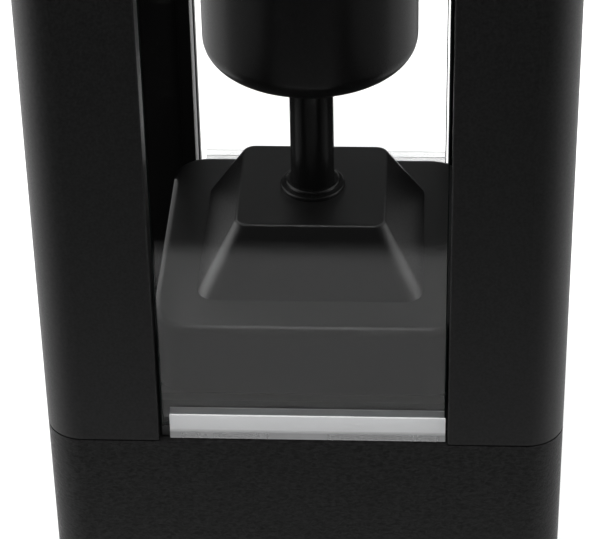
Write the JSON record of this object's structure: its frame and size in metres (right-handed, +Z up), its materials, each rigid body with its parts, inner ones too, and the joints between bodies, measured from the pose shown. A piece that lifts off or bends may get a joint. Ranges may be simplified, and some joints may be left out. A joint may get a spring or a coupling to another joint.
{
  "type": "soda carbonator",
  "caption": "Tall square soda carbonator: bottle cup on a screw-driven lift post over a pyramid pedestal, glazed chamber between hollow pillars, gas head above.",
  "frame": {"origin": "on the table under the centre of the case", "axes": "+Z up, front towards -Y, +X to the right seen from the front"},
  "size_m": [0.232, 0.244, 0.56],
  "materials": {
    "pillar_black": "fine spark-eroded grain",
    "grained_black": "leather-like grain",
    "plain_black": "plain moulded",
    "chamber_black": "fine matt",
    "pedestal_black": "fine matt, softly rounded",
    "ring_black": "satin",
    "cup_black": "fine matt",
    "post_black": "satin black coat",
    "clear_pane": "clear, polished",
    "edge_seal": "translucent milky white",
    "foot_rubber": "matt",
    "seal_rubber": "soft grey silicone",
    "zinc_steel": "zinc plated",
    "spring_steel": "drawn wire",
    "button_steel": "satin",
    "nut_brass": "machined",
    "bearing_white": "acetal",
    "light_lens": "frosted",
    "cylinder_grey": "satin paint",
    "valve_aluminium": "machined",
    "hose_grey": "smooth",
    "board_green": "solder mask"
  },
  "bodies": {
    "root": {"base_shell": "grained_black", "base_plate": "plain_black", "base_screws": "zinc_steel", "feet": "foot_rubber", "chamber_pan": "chamber_black", "pedestal_cover": "pedestal_black", "wiper_ring": "ring_black", "guide_tube": "plain_black", "drive_frame": "zinc_steel", "gearbox": "zinc_steel", "lift_motor": "zinc_steel", "left_pillar": "pillar_black", "right_pillar": "pillar_black", "left_liner": "chamber_black", "right_liner": "chamber_black", "rear_jambs": "chamber_black", "tie_rods": "zinc_steel", "tie_nuts": "zinc_steel", "head_shell": "grained_black", "top_cover": "pillar_black", "status_light": "light_lens", "button_holder": "plain_black", "button_spring": "spring_steel", "micro_switch": "plain_black", "switch_stand": "plain_black", "nozzle_body": "plain_black", "bottle_gasket": "seal_rubber", "gas_nozzle": "button_steel", "relief_valve": "nut_brass", "cylinder_cradle": "plain_black", "co2_cylinder": "cylinder_grey", "valve_block": "valve_aluminium", "valve_bracket": "zinc_steel", "solenoid_valve": "valve_aluminium", "gas_hose": "hose_grey", "door_catches": "plain_black", "power_inlet": "plain_black", "switch_frame": "plain_black", "control_board": "board_green", "power_supply": "plain_black"},
    "lift": {"lift_post": "post_black", "post_foot": "bearing_white", "lift_nut": "nut_brass", "bottle_cup": "cup_black", "cup_pad": "foot_rubber"},
    "screw": {"lead_screw": "zinc_steel", "screw_gear": "bearing_white"},
    "pinion": {"motor_pinion": "nut_brass"},
    "front_door": {"front_pane": "clear_pane", "front_seal": "edge_seal", "front_pivots": "plain_black", "front_pull": "ring_black"},
    "rear_door": {"rear_pane": "clear_pane", "rear_seal": "edge_seal", "rear_pivots": "plain_black", "rear_pull": "ring_black"},
    "gas_hatch": {"gas_door": "pillar_black", "gas_door_pins": "zinc_steel"},
    "button": {"start_button": "button_steel"},
    "rocker": {"power_switch": "ring_black"}
  },
  "joints": [
    {"name": "lift", "type": "slide", "parent": "root", "child": "lift", "axis": [0, 0, 1], "range_m": [-0.058, 0]},
    {"name": "screw_spin", "type": "hinge", "parent": "root", "child": "screw", "pos_m": [0, 0, 0.02], "axis": [0, 0, 1], "range_deg": [-4, 2614]},
    {"name": "pinion_spin", "type": "hinge", "parent": "root", "child": "pinion", "pos_m": [-0.032, 0, 0.026], "axis": [0, 0, 1], "range_deg": [-7842, 12]},
    {"name": "front_door_swing", "type": "hinge", "parent": "root", "child": "front_door", "pos_m": [-0.0608, -0.11705, 0.287], "axis": [0, 0, -1], "range_deg": [0, 90]},
    {"name": "rear_door_swing", "type": "hinge", "parent": "root", "child": "rear_door", "pos_m": [-0.0608, 0.09895, 0.287], "axis": [0, 0, 1], "range_deg": [0, 90]},
    {"name": "gas_hatch_swing", "type": "hinge", "parent": "root", "child": "gas_hatch", "pos_m": [0.1145, 0.0315, 0.244], "axis": [0, 0, 1], "range_deg": [0, 90]},
    {"name": "start_press", "type": "slide", "parent": "root", "child": "button", "axis": [0, 0, 1], "range_m": [-0.0025, 0], "stiffness_N_per_m": 400, "springref_m": 0.001, "deforming": ["button_spring"]},
    {"name": "power_rock", "type": "hinge", "parent": "root", "child": "rocker", "pos_m": [0.06, 0.1165, 0.045], "axis": [1, 0, 0], "range_deg": [-16, 0]}
  ],
  "couplings": [
    {"joint": "screw_spin", "follows": "lift", "rad_per_m": -785.4},
    {"joint": "pinion_spin", "follows": "lift", "rad_per_m": 2356.2}
  ]
}
